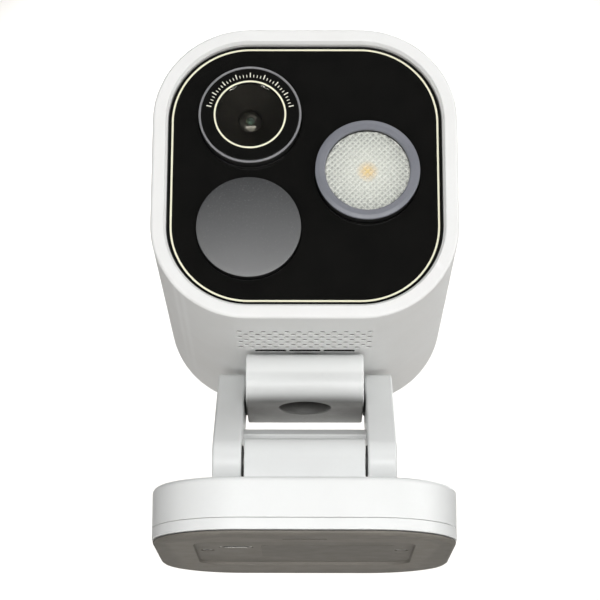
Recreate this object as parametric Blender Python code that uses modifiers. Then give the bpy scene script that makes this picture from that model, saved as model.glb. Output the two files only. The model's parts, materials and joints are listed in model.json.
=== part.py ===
"""Spotlight security camera: a square camera head on a two-axis folding arm and a square base.

Everything is written in millimetres and scaled to metres when a mesh is made. The base stands on
z = 0, the camera looks towards -Y, and X = 0 is the plane of symmetry of the stand. Three chained
joints carry the head: base_tilt and head_tilt turn about X, head_pan about the head's upright.

Head pieces are drawn in the head's own frame: its origin is the middle of the front glass's
outer surface, x to the right as seen from the front, y backwards into the head, z up.
"""

import math

import bmesh
import bpy
from mathutils import Matrix

MM = 0.001
GAP = 0.3                      # clearance between neighbouring pieces

# Stand
BASE_Y = -14.5                 # the base's middle; it puts the whole object's box over the origin
BASE_SIDE = 77.0
BASE_CORNER = 22.0
BASE_TOP = 14.4
BASE_WALL = 2.2
COVER_BOTTOM = 4.4
RING_TOP = 4.1
RING_BOTTOM = 1.3
FOOT_FLANGE_TOP = 1.0
FOOT_TOP = 3.0
FOOT_RECESS = 0.8

# Folding arm
LOWER_AXIS_Z = 24.3
BARREL_RADIUS = 6.5
TONGUE_HALF = 15.8             # half width of the barrel and of the swivel block between the arms
ARM_INNER = 16.5
ARM_OUTER = 24.1
ARM_RADIUS = 6.8
LINK_LENGTH = 37.4
LINK_LEAN = 38.5               # degrees above horizontal, leaning back
WEB_AT = 16.4                  # the cross web's distance from the lower axis
PIN_RADIUS = 2.0
PIN_BORE = PIN_RADIUS + GAP
CAP_RADIUS = 4.2
CAP_DEPTH = 1.2

# Head
HEAD_SIDE = 80.0
HEAD_CORNER = 25.6
HEAD_FRONT = -2.1
HEAD_REAR = 88.5
SHELL_REAR = 86.4
SHELL_BORE = 74.8
BORE_CORNER = 23.0
LIP_BORE = 72.4
LIP_CORNER = 21.8
LIP_DEPTH = 3.0
HEAD_PITCH = 2.2               # degrees that the head looks up at rest
UPPER_AXIS = (53.6, -47.4)     # head frame: y, z
PAN_AXIS_Y = 37.4
BLOCK_FRONT = 26.0
BLOCK_TOP = -40.8
BLOCK_BOTTOM = -54.0
LENS = (-14.4, 15.4)           # middles of the three round windows: x, z
SENSOR = (-14.5, -15.3)
SPOTLIGHT = (16.4, 0.2)
LENS_RADIUS = 13.5
SENSOR_RADIUS = 13.6
SPOTLIGHT_RADIUS = 13.7
SPOTLIGHT_BORE = 11.0
BEZEL_FRONT = -2.9             # how far the lens and spotlight bezels stand out, along y
SENSOR_FRONT = -2.2
SCREW_SPACING = 24.0           # rear cover screws, from the middle
SLOT_PITCH = 9.2
SLOT_Y = 29.5

ROUND_STEPS = 24
CORNER_STEPS = 6


# --- scene, materials and frames -----------------------------------------------------------------

for old in list(bpy.data.objects):
    bpy.data.objects.remove(old, do_unlink=True)

parts = bpy.data.collections.new("spotlight_camera")
cutters = bpy.data.collections.new("cutters")
for collection in (parts, cutters):
    bpy.context.scene.collection.children.link(collection)


def material(name, colour, roughness, metallic=0.0):
    made = bpy.data.materials.new(name)
    made.use_nodes = True
    shader = made.node_tree.nodes["Principled BSDF"]
    shader.inputs["Base Color"].default_value = (*colour, 1.0)
    shader.inputs["Roughness"].default_value = roughness
    shader.inputs["Metallic"].default_value = metallic
    return made


WHITE = material("white_plastic", (0.82, 0.82, 0.81), 0.45)
FOOT_GREY = material("foot_grey", (0.23, 0.21, 0.18), 0.6)
LABEL = material("label_film", (0.30, 0.28, 0.25), 0.5)
BLACK_GLASS = material("black_glass", (0.008, 0.008, 0.01), 0.08)
BLACK_PLASTIC = material("black_plastic", (0.03, 0.03, 0.032), 0.5)
BEZEL_GREY = material("bezel_grey", (0.17, 0.18, 0.21), 0.35)
SENSOR_GREY = material("sensor_grey", (0.14, 0.14, 0.15), 0.7)
DIFFUSER = material("diffuser", (0.72, 0.74, 0.70), 0.3)
LED_YELLOW = material("led_yellow", (0.85, 0.62, 0.18), 0.4)
LENS_GLASS = material("lens_glass", (0.03, 0.05, 0.06), 0.05)
STEEL = material("steel", (0.55, 0.55, 0.56), 0.3, 1.0)
ALUMINIUM = material("aluminium", (0.70, 0.71, 0.72), 0.4, 1.0)
BOARD = material("board_green", (0.02, 0.12, 0.06), 0.5)
RUBBER = material("rubber", (0.05, 0.05, 0.05), 0.8)
NYLON = material("nylon", (0.75, 0.75, 0.72), 0.5)


def frame(name, parent, place, turn=0.0):
    """An empty at a place in its parent's frame (mm), turned about X by so many degrees."""
    made = bpy.data.objects.new(name, None)
    parts.objects.link(made)
    made.parent = parent
    made.location = [value * MM for value in place]
    made.rotation_euler = (math.radians(turn), 0.0, 0.0)
    made.empty_display_size = 0.01
    return made


BASE = frame("base_frame", None, (0.0, BASE_Y, 0.0))
LINK = frame("base_tilt_axis", BASE, (0.0, 0.0, LOWER_AXIS_Z), LINK_LEAN)
KNUCKLE = frame("head_tilt_axis", LINK, (0.0, LINK_LENGTH, 0.0), -LINK_LEAN - HEAD_PITCH)
PAN = frame("head_pan_axis", KNUCKLE, (0.0, PAN_AXIS_Y - UPPER_AXIS[0], 0.0))
HEAD = frame("head_frame", PAN, (0.0, -PAN_AXIS_Y, -UPPER_AXIS[1]))
BLOCK = frame("block_frame", KNUCKLE, (0.0, -UPPER_AXIS[0], -UPPER_AXIS[1]))


# --- outlines and solids -------------------------------------------------------------------------

def arc(centre, radius, start, end, steps):
    angles = [math.radians(start + (end - start) * i / steps) for i in range(steps + 1)]
    return [(centre[0] + radius * math.cos(a), centre[1] + radius * math.sin(a)) for a in angles]


def rounded(width, height, corner, centre=(0.0, 0.0), steps=CORNER_STEPS):
    """A rectangle with round corners, anticlockwise from its lower right corner."""
    points = []
    for sx, sy, start in ((1, -1, -90), (1, 1, 0), (-1, 1, 90), (-1, -1, 180)):
        middle = (centre[0] + sx * (width / 2 - corner), centre[1] + sy * (height / 2 - corner))
        points += arc(middle, corner, start, start + 90, steps)
    return points


def circle(radius, centre=(0.0, 0.0), steps=ROUND_STEPS):
    return arc(centre, radius, 0, 360 - 360 / steps, steps - 1)


FACING = {                     # turns a flat outline's plane and its thickness the right way
    "X": Matrix(((0, 0, 1, 0), (1, 0, 0, 0), (0, 1, 0, 0), (0, 0, 0, 1))),
    "Y": Matrix.Rotation(math.radians(90), 4, "X"),
    "Z": Matrix.Identity(4),
}
AXIS = {"X": (1, 0, 0), "Y": (0, 1, 0), "Z": (0, 0, 1)}


def add(name, mesh, home, finish):
    """Puts a mesh in the scene as a part, or as a cutter when it has no finish."""
    made = bpy.data.objects.new(name, mesh)
    made.parent = home
    if finish is None:
        cutters.objects.link(made)
        made.hide_render = True
        made.display_type = "WIRE"
    else:
        parts.objects.link(made)
        mesh.materials.append(finish)
    return made


def plate(name, outlines, near, far, facing, home, finish=None, edge=0.0, edge_segments=2):
    """A flat outline, with any holes, given a thickness from near to far along an axis."""
    curve = bpy.data.curves.new(name, "CURVE")
    curve.dimensions = "2D"
    curve.fill_mode = "BOTH"
    curve.extrude = (far - near) / 2 * MM
    for outline in outlines:
        spline = curve.splines.new("POLY")
        spline.points.add(len(outline) - 1)
        for point, (across, up) in zip(spline.points, outline):
            point.co = (across * MM, up * MM, 0.0, 1.0)
        spline.use_cyclic_u = True
    flat = bpy.data.objects.new(name + "_curve", curve)
    cutters.objects.link(flat)
    bpy.context.view_layer.update()
    mesh = bpy.data.meshes.new_from_object(flat.evaluated_get(bpy.context.evaluated_depsgraph_get()))
    bpy.data.objects.remove(flat)
    middle = Matrix.Translation([value * (near + far) / 2 * MM for value in AXIS[facing]])
    mesh.transform(middle @ FACING[facing])
    work = bmesh.new()
    work.from_mesh(mesh)
    bmesh.ops.remove_doubles(work, verts=work.verts, dist=0.000005)
    bmesh.ops.recalc_face_normals(work, faces=work.faces)
    work.to_mesh(mesh)
    work.free()
    made = add(name, mesh, home, finish)
    if edge:
        soften(made, edge, edge_segments)
    return made


def turned(name, profile, facing, place, home, finish=None, steps=ROUND_STEPS):
    """A turned solid. Its profile is (radius, along) pairs, whose outer side runs downwards."""
    mesh = bpy.data.meshes.new(name)
    work = bmesh.new()
    corners = [work.verts.new((radius * MM, 0.0, along * MM)) for radius, along in profile]
    for first, second in zip(corners, corners[1:]):
        work.edges.new((first, second))
    if profile[0][0] > 0:
        work.edges.new((corners[-1], corners[0]))
    work.to_mesh(mesh)
    work.free()
    made = add(name, mesh, home, finish)
    made.location = [value * MM for value in place]
    made.rotation_euler = {
        "X": (0.0, math.radians(90), 0.0),
        "Y": (math.radians(-90), 0.0, 0.0),
        "Z": (0.0, 0.0, 0.0),
    }[facing]
    screw = made.modifiers.new("Turn", "SCREW")
    screw.steps = steps
    screw.render_steps = steps
    screw.use_merge_vertices = True
    screw.merge_threshold = 0.000005
    return made


def rod(radius, low, high):
    return [(0.0, high), (radius, high), (radius, low), (0.0, low)]


def tube(outer, inner, low, high):
    return [(outer, high), (outer, low), (inner, low), (inner, high)]


def block(name, low, high, home, finish=None):
    mesh = bpy.data.meshes.new(name)
    work = bmesh.new()
    size = [(top - bottom) * MM for bottom, top in zip(low, high)]
    middle = [(top + bottom) / 2 * MM for bottom, top in zip(low, high)]
    place = Matrix.Translation(middle) @ Matrix.Diagonal((*size, 1.0))
    bmesh.ops.create_cube(work, size=1.0, matrix=place)
    work.to_mesh(mesh)
    work.free()
    return add(name, mesh, home, finish)


def soften(piece, width, segments):
    bevel = piece.modifiers.new("Edges", "BEVEL")
    bevel.width = width * MM
    bevel.segments = segments
    bevel.limit_method = "ANGLE"
    bevel.angle_limit = math.radians(40)


def combine(piece, other, operation):
    step = piece.modifiers.new(other.name, "BOOLEAN")
    step.operation = operation
    step.object = other
    step.solver = "EXACT"


def cut(piece, *others):
    for other in others:
        combine(piece, other, "DIFFERENCE")


def join(piece, *others):
    for other in others:
        combine(piece, other, "UNION")


# --- base ----------------------------------------------------------------------------------------

BOSS_X = 25.0
BOSS_Y = -4.0
PORT = (-17.5, -10.0)


def make_base():
    outline = rounded(BASE_SIDE, BASE_SIDE, BASE_CORNER)
    inner_side = BASE_SIDE - 2 * BASE_WALL
    inner = rounded(inner_side, inner_side, BASE_CORNER - BASE_WALL)
    housing = plate("base_housing", [outline], COVER_BOTTOM, BASE_TOP, "Z", BASE, WHITE, edge=1.4)
    cut(housing, plate("base_hollow", [inner], COVER_BOTTOM - 2, BASE_TOP - BASE_WALL, "Z", BASE))
    barrel = arc((0.0, LOWER_AXIS_Z), BARREL_RADIUS, 0, 180, 16)
    foot = BASE_TOP - BASE_WALL + 0.2
    barrel += [(-BARREL_RADIUS, foot), (BARREL_RADIUS, foot)]
    join(housing, plate("hinge_barrel", [barrel], -TONGUE_HALF, TONGUE_HALF, "X", BASE))
    cut(housing, turned("barrel_bore", rod(PIN_BORE, -20, 20), "X", (0, 0, LOWER_AXIS_Z), BASE))
    for side, sign in (("left", -1), ("right", 1)):
        place = (sign * BOSS_X, BOSS_Y, 0.0)
        boss = turned("boss_" + side, tube(3.0, 1.3, 3.6, BASE_TOP - 1.5), "Z", place, BASE, steps=16)
        join(housing, boss)
        screw = [(0, 9), (1, 9), (1, 2.6), (1.6, 2.6), (1.6, 1.1), (0, 1.1)]
        turned("base_screw_" + side, screw, "Z", place, BASE, STEEL, steps=20)

    ring_side = BASE_SIDE - 3.6
    ring_hole = rounded(ring_side, ring_side, BASE_CORNER - 1.8)
    plate("base_ring", [outline, ring_hole], RING_BOTTOM, RING_TOP, "Z", BASE, WHITE)
    make_foot(ring_side)
    board = rounded(40, 54, 3, steps=3)
    plate("base_board", [board], 7.4, 8.6, "Z", BASE, BOARD)


def make_foot(ring_side):
    """The grey plate that closes the base from below, with its shallow recess and what is in it."""
    flange_side = BASE_SIDE - 0.4
    flange = rounded(flange_side, flange_side, BASE_CORNER - 0.2)
    plug_side = ring_side - 2 * GAP
    plug = rounded(plug_side, plug_side, BASE_CORNER - 1.8 - GAP)
    foot = plate("foot_plate", [flange], 0.0, FOOT_FLANGE_TOP, "Z", BASE, FOOT_GREY)
    chamfer = foot.modifiers.new("Lower edge", "BEVEL")
    chamfer.width = 0.8 * MM
    chamfer.limit_method = "ANGLE"
    join(foot, plate("foot_plug", [plug], FOOT_FLANGE_TOP / 2, FOOT_TOP, "Z", BASE))
    recess = rounded(56, 44, 6, centre=(0, -3))
    cut(foot, plate("foot_recess", [recess], -1.0, FOOT_RECESS, "Z", BASE))
    for side, sign in (("left", -1), ("right", 1)):
        hole = [(0, 4), (1.3, 4), (1.3, 2.9), (1.9, 2.9), (1.9, -1), (0, -1)]
        place = (sign * BOSS_X, BOSS_Y, 0.0)
        cut(foot, turned("foot_hole_" + side, hole, "Z", place, BASE, steps=20))
    port_hole = rounded(9.0, 3.8, 1.8, centre=PORT, steps=4)
    cut(foot, plate("port_hole", [port_hole], -1, 5, "Z", BASE))
    vent = rounded(11.3, 1.8, 0.88, centre=(0, -30), steps=4)
    cut(foot, plate("vent_slot", [vent], -1, 5, "Z", BASE))

    shell = rounded(8.4, 3.2, 1.55, centre=PORT, steps=4)
    mouth = rounded(7.8, 2.6, 1.25, centre=PORT, steps=4)
    plate("service_port", [shell, mouth], 1.4, 7.1, "Z", BASE, STEEL)
    tongue = (PORT[0] - 3.2, PORT[1] - 0.35, 2.2), (PORT[0] + 3.2, PORT[1] + 0.35, 7.1)
    block("port_tongue", *tongue, BASE, BLACK_PLASTIC)
    label = rounded(34, 22, 2, centre=(6, -3), steps=3)
    plate("base_label", [label], 0.25, 0.5, "Z", BASE, LABEL)


# --- folding arm ---------------------------------------------------------------------------------

def make_link():
    """Two arms and the web between them; the link's own frame has y from axis to axis."""
    ends = ((0.0, "lower"), (LINK_LENGTH, "upper"))
    side_view = arc((LINK_LENGTH, 0), ARM_RADIUS, -90, 90, 12) + arc((0, 0), ARM_RADIUS, 90, 270, 12)
    link = plate("link_frame", [side_view], ARM_INNER, ARM_OUTER, "X", LINK, WHITE, 0.6, 1)
    far_arm = plate("far_arm", [side_view], -ARM_OUTER, -ARM_INNER, "X", LINK, None, 0.6, 1)
    web_low = (-ARM_INNER - 2, WEB_AT - 1.6, -1.1)
    web_high = (ARM_INNER + 2, WEB_AT + 1.6, 0.7)
    join(link, block("web", web_low, web_high, LINK), far_arm)
    for along, end in ends:
        place = (0.0, along, 0.0)
        seat = ARM_OUTER - CAP_DEPTH - GAP
        washer_seat = ARM_INNER + 0.8
        half = [
            (0, 30),
            (CAP_RADIUS + GAP, 30),
            (CAP_RADIUS + GAP, seat),
            (PIN_BORE, seat),
            (PIN_BORE, washer_seat),
            (5.0, washer_seat),
        ]
        bore = half + [(radius, -across) for radius, across in reversed(half)]
        cut(link, turned("link_bore_" + end, bore, "X", place, LINK, steps=20))
        pin = rod(PIN_RADIUS, GAP - seat, seat - GAP)
        turned("hinge_pin_" + end, pin, "X", place, LINK, STEEL, steps=16)
        for side, sign in (("left", -1), ("right", 1)):
            name = end + "_" + side
            low, high = sorted((sign * (ARM_OUTER - CAP_DEPTH), sign * (ARM_OUTER - 0.1)))
            turned("hinge_cap_" + name, rod(CAP_RADIUS, low, high), "X", place, LINK, WHITE, steps=20)
            low, high = sorted((sign * (TONGUE_HALF + GAP), sign * (ARM_INNER + 0.5)))
            washer = tube(4.6, PIN_BORE, low, high)
            turned("hinge_washer_" + name, washer, "X", place, LINK, NYLON, steps=16)


def make_swivel():
    """The block between the arms' upper ends, the screw that the head turns on, and its washer."""
    corner = 5.0
    axis_y, axis_z = UPPER_AXIS
    radius = axis_z - BLOCK_BOTTOM
    side_view = arc((axis_y, axis_z), radius, -90, 90, 16)
    side_view += arc((BLOCK_FRONT + corner, BLOCK_TOP - corner), corner, 90, 180, 8)
    side_view += arc((BLOCK_FRONT + corner, BLOCK_BOTTOM + corner), corner, 180, 270, 8)
    swivel = plate("swivel_block", [side_view], -TONGUE_HALF, TONGUE_HALF, "X", BLOCK, WHITE)
    cut(swivel, turned("block_bore", rod(PIN_BORE, -20, 20), "X", (0, axis_y, axis_z), BLOCK, steps=20))
    place = (0.0, PAN_AXIS_Y, 0.0)
    recess = [(0, -39), (10.3, -39), (10.3, -41.5), (3, -41.5), (3, -45.5), (7, -45.5), (7, -56), (0, -56)]
    cut(swivel, turned("swivel_recess", recess, "Z", place, BLOCK))
    washer = tube(10.0, 3.0, -41.2, -40.3)
    turned("swivel_washer", washer, "Z", place, BLOCK, NYLON)
    screw = [(0, -31.5), (2.4, -31.5), (2.4, -45.8), (6.2, -45.8), (6.2, -48.6), (5.6, -49.2), (0, -49.2)]
    turned("swivel_screw", screw, "Z", (0, 0, -UPPER_AXIS[1]), PAN, STEEL, steps=24)


# --- head ----------------------------------------------------------------------------------------

def make_shell():
    outline = rounded(HEAD_SIDE, HEAD_SIDE, HEAD_CORNER)
    lip = rounded(LIP_BORE, LIP_BORE, LIP_CORNER)
    bore = rounded(SHELL_BORE, SHELL_BORE, BORE_CORNER)
    shell = plate("head_shell", [outline, lip], HEAD_FRONT, SHELL_REAR, "Y", HEAD, WHITE)
    chamfer = shell.modifiers.new("Rim", "BEVEL")
    chamfer.width = 0.7 * MM
    chamfer.segments = 1
    chamfer.limit_method = "ANGLE"
    cut(shell, plate("shell_bore", [bore], LIP_DEPTH, SHELL_REAR + 2, "Y", HEAD))
    shell.modifiers["shell_bore"].solver = "MANIFOLD"     # EXACT leaves nothing of the bevelled tube
    cut(shell, turned("shell_hole", rod(4.5, -42, -35), "Z", (0, PAN_AXIS_Y, 0), HEAD, steps=20))
    for index in (-1, 0, 1):
        slot = rounded(8.4, 2.4, 0.7, centre=(index * SLOT_PITCH, SLOT_Y), steps=3)
        cut(shell, plate(f"vent_{index + 2}", [slot], -42, -35, "Z", HEAD))
    cover = plate("rear_cover", [outline], SHELL_REAR + GAP, HEAD_REAR, "Y", HEAD, WHITE, edge=0.8)
    spigot_side = SHELL_BORE - 2 * GAP
    spigot = rounded(spigot_side, spigot_side, BORE_CORNER - GAP)
    spigot_hole = rounded(70, 70, 20.6)
    join(cover, plate("spigot", [spigot, spigot_hole], 82.5, SHELL_REAR + 1, "Y", HEAD))
    plate("rear_gasket", [spigot, spigot_hole], 81.0, 82.2, "Y", HEAD, RUBBER)
    for x in (-1, 1):
        for z in (-1, 1):
            name = ("lower" if z < 0 else "upper") + "_" + ("left" if x < 0 else "right")
            place = (x * SCREW_SPACING, 0.0, z * SCREW_SPACING)
            hole = [(0, 90), (3.0, 90), (3.0, 87.0), (1.7, 87.0), (1.7, 84), (0, 84)]
            cut(cover, turned("cover_hole_" + name, hole, "Y", place, HEAD, steps=20))
            screw = [(0, 88.3), (2.7, 88.3), (2.7, 87.3), (1.3, 87.3), (1.3, 74), (0, 74)]
            turned("rear_screw_" + name, screw, "Y", place, HEAD, STEEL, steps=20)
    pocket = rounded(26.6, 10.6, 4.3, centre=(0, -23), steps=5)
    cut(cover, plate("service_pocket", [pocket], 87.4, 90, "Y", HEAD))
    flap = rounded(26, 10, 4, centre=(0, -23), steps=5)
    plate("service_cover", [flap], 87.7, 88.4, "Y", HEAD, RUBBER)


def make_front():
    """The black front: the glass, the plate that carries it and the three round windows."""
    glass_side = LIP_BORE - 2 * GAP
    glass = rounded(glass_side, glass_side, LIP_CORNER - GAP)
    holes = [
        circle(LENS_RADIUS + GAP, LENS),
        circle(SENSOR_RADIUS + GAP, SENSOR),
        circle(SPOTLIGHT_RADIUS + GAP, SPOTLIGHT),
    ]
    plate("front_glass", [glass, *holes], 0.0, 2.0, "Y", HEAD, BLACK_GLASS)
    carrier_side = SHELL_BORE - 2 * GAP
    carrier = rounded(carrier_side, carrier_side, BORE_CORNER - GAP)
    carrier_holes = [holes[0], circle(9.0, SENSOR), holes[2]]
    plate("front_carrier", [carrier, *carrier_holes], LIP_DEPTH + GAP, 5.6, "Y", HEAD, BLACK_PLASTIC)
    gasket = rounded(71.0, 71.0, 21.1)
    gasket_hole = rounded(69.2, 69.2, 20.2)
    plate("glass_gasket", [gasket, gasket_hole], 2.3, 3.0, "Y", HEAD, RUBBER)

    lens_place = (LENS[0], 0.0, LENS[1])
    ring = [(LENS_RADIUS, 4.6), (LENS_RADIUS, BEZEL_FRONT + 0.3), (13.2, BEZEL_FRONT), (12.7, BEZEL_FRONT),
            (12.7, 4.6)]
    turned("lens_bezel", ring, "Y", lens_place, HEAD, BEZEL_GREY)
    turned("lens_window", rod(12.4, BEZEL_FRONT + 0.1, -1.5), "Y", lens_place, HEAD, BLACK_GLASS)
    barrel = [(8, 16), (8, 5), (11, 5), (11, -1.2), (9.2, -1.2), (5.2, 2.6), (5.2, 12), (4, 12), (4, 16)]
    turned("lens_barrel", barrel, "Y", lens_place, HEAD, BLACK_PLASTIC)
    element = [(0, 8.5), (4.8, 8.5), (4.8, 5.1), (4.1, 3.6), (2.4, 2.7), (0, 2.4)]
    turned("lens_element", element, "Y", lens_place, HEAD, LENS_GLASS)
    x, z = LENS
    block("image_sensor", (x - 4, 16.4, z - 3), (x + 4, 17.6, z + 3), HEAD, BLACK_PLASTIC)
    board = rounded(25, 24, 2, centre=LENS, steps=3)
    plate("camera_board", [board], 17.9, 19.1, "Y", HEAD, BOARD)

    sensor_place = (SENSOR[0], 0.0, SENSOR[1])
    window = [(0, 1.7), (SENSOR_RADIUS, 1.7), (SENSOR_RADIUS, SENSOR_FRONT + 0.4),
              (SENSOR_RADIUS - 0.4, SENSOR_FRONT), (0, SENSOR_FRONT)]
    turned("sensor_window", window, "Y", sensor_place, HEAD, SENSOR_GREY)
    can = [(0, 10.5), (4.6, 10.5), (4.6, 9.9), (4.1, 9.9), (4.1, 6.3), (0, 6.3)]
    turned("motion_sensor", can, "Y", sensor_place, HEAD, STEEL, steps=24)
    x, z = SENSOR
    sensor_board = rounded(22, 20, 2, centre=SENSOR, steps=3)
    plate("sensor_board", [sensor_board], 10.8, 12.0, "Y", HEAD, BOARD)


def make_spotlight():
    place = (SPOTLIGHT[0], 0.0, SPOTLIGHT[1])
    outer = SPOTLIGHT_RADIUS
    bore = SPOTLIGHT_BORE
    front = BEZEL_FRONT
    ring = [
        (outer, 8.2), (outer, front + 0.5), (outer - 0.5, front),
        (bore + 0.4, front), (bore, front + 0.4), (bore, 8.2),
    ]
    turned("spotlight_bezel", ring, "Y", place, HEAD, BEZEL_GREY)
    turned("spotlight_lens", rod(bore - GAP, -1.3, 0.6), "Y", place, HEAD, DIFFUSER)
    cup = [(bore - GAP, 8.0), (bore - GAP, 0.9), (9.8, 0.9), (3.9, 8.0)]
    turned("spotlight_reflector", cup, "Y", place, HEAD, ALUMINIUM)
    x, z = SPOTLIGHT
    block("led_chip", (x - 2.2, 7.2, z - 2.2), (x + 2.2, 8.2, z + 2.2), HEAD, LED_YELLOW)
    turned("led_board", rod(13.0, 8.5, 9.7), "Y", place, HEAD, ALUMINIUM)
    fins = []
    count = 6
    width = 24.0
    pitch = (width - 1.4) / (count - 1)
    for index in range(count):
        left = x - width / 2 + index * pitch
        fins += [(left, 22.0), (left + 1.4, 22.0)]
        if index < count - 1:
            fins += [(left + 1.4, 12.0), (left + pitch, 12.0)]
    fins += [(x + width / 2, 10.0), (x - width / 2, 10.0)]
    plate("heat_sink", [fins], z - 11, z + 11, "Z", HEAD, ALUMINIUM)


def make_inside():
    main = rounded(66, 58, 12, centre=(0, 6))
    plate("main_board", [main], 28.0, 29.4, "Y", HEAD, BOARD)
    chassis_side = 68.0
    outline = rounded(chassis_side, chassis_side, 18, centre=(0, 2))
    window = rounded(34, 34, 6, centre=(0, 4))
    chassis = plate("inner_chassis", [outline, window], 52.0, 54.0, "Y", HEAD, BLACK_PLASTIC)
    for x in (-1, 1):
        for z in (-1, 1):
            place = (x * SCREW_SPACING, 0.0, z * SCREW_SPACING)
            name = f"post_{x + 1}_{z + 1}"
            join(chassis, turned(name, rod(3.4, 53, 80.5), "Y", place, HEAD, steps=16))
            cut(chassis, turned(name + "_hole", rod(1.6, 72, 82), "Y", place, HEAD, steps=16))
    driver = rounded(40, 34, 3, centre=(0, 4), steps=3)
    plate("driver_board", [driver], 60.0, 61.4, "Y", HEAD, BOARD)
    case = rounded(34, 15, 6, centre=(0, 15), steps=5)
    speaker = plate("speaker", [case], -36.9, -31.0, "Z", HEAD, BLACK_PLASTIC)
    cone = rounded(28, 10, 4.5, centre=(0, 15), steps=5)
    cut(speaker, plate("speaker_cone", [cone], -38, -35.4, "Z", HEAD))
    turned("microphone", rod(2.0, -36.9, -34.9), "Z", (SLOT_PITCH + 2.5, SLOT_Y, 0), HEAD, STEEL, steps=20)
    insert_outline = rounded(24, 13, 3, centre=(0, PAN_AXIS_Y), steps=4)
    insert = plate("swivel_insert", [insert_outline], -37.0, -30.0, "Z", HEAD, ALUMINIUM)
    cut(insert, turned("insert_thread", rod(2.7, -38, -31.2), "Z", (0, PAN_AXIS_Y, 0), HEAD, steps=20))
    block("antenna", (-13, 44, 35.6), (13, 50, 36.6), HEAD, BOARD)


make_base()
make_link()
make_swivel()
make_shell()
make_front()
make_spotlight()
make_inside()
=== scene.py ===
import json
import math

import bmesh
import bpy
from mathutils import Matrix, Vector


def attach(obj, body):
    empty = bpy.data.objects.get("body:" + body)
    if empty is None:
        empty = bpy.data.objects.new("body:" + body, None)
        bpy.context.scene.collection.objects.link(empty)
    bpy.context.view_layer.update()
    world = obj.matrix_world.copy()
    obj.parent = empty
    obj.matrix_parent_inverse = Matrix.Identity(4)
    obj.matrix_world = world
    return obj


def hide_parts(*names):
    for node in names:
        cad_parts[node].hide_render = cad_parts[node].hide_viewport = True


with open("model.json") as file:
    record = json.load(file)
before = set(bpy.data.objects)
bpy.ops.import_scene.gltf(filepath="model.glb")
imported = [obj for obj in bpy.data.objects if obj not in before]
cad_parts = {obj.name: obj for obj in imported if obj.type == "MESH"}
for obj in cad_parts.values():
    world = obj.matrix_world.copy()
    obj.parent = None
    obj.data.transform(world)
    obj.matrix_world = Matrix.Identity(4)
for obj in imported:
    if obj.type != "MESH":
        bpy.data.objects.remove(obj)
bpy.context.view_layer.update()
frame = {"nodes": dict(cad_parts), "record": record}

# Lengths below are millimetres, as in the CAD, and become metres when a mesh is made.
MM = 0.001

joints = {joint["name"]: joint for joint in frame["record"]["behaviour"]["joints"]}
LOWER_AXIS = Vector(joints["base_tilt"]["pos_m"])
UPPER_AXIS = Vector(joints["head_tilt"]["pos_m"])
PAN_AXIS = Vector(joints["head_pan"]["pos_m"])
PAN_UP = Vector(joints["head_pan"]["axis"])
LINK = UPPER_AXIS - LOWER_AXIS
LINK_LENGTH = LINK.length / MM
LINK_LEAN = math.atan2(LINK.z, LINK.y)
HEAD_PITCH = math.atan2(PAN_UP.y, PAN_UP.z)

# The head's own frame: origin in the middle of the front glass, y backwards, z up.
PAN_Y = 37.4
UPPER_Y = 53.6
UPPER_Z = -47.4
TURN = Matrix.Rotation(-HEAD_PITCH, 4, "X")
HEAD = Matrix.Translation(UPPER_AXIS) @ TURN @ Matrix.Translation((0, -UPPER_Y * MM, -UPPER_Z * MM))
ARM = Matrix.Translation(LOWER_AXIS) @ Matrix.Rotation(LINK_LEAN, 4, "X")
BASE = Matrix.Translation((0, LOWER_AXIS.y, 0))
LOWER_Z = LOWER_AXIS.z / MM

# Driving sizes
HEAD_SIDE = 80.0
HEAD_CORNER = 25.6
HEAD_FRONT = -2.1
SHELL_BACK = 86.4
SHELL_WALL = 2.6
GLASS_INSET = 4.0
LENS = (-14.43, 15.45)
SENSOR = (-14.54, -15.26)
SPOT = (16.34, 0.19)
LENS_RADIUS = 13.5
SENSOR_RADIUS = 13.58
SPOT_RADIUS = 13.68
SPOT_BORE = 11.06
BEZEL_FRONT = -2.9
SENSOR_EDGE = -1.95
BASE_SIDE = 77.0
BASE_CORNER = 22.0
BASE_TOP = 14.4
TONGUE_HALF = 15.8
ARM_INNER = 16.5
ARM_OUTER = 24.1
WEB_AT = 16.4
ARM_RADIUS = 6.8
SCREW_SPACING = 24.0
GRILLE_Y = 18.7
SLOT_Y = 29.5
SLOT_PITCH = 9.2
INNER_FLOOR = -37.3
PORT = (-17.5, -10.0)


# --- materials -----------------------------------------------------------------------------------

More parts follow.
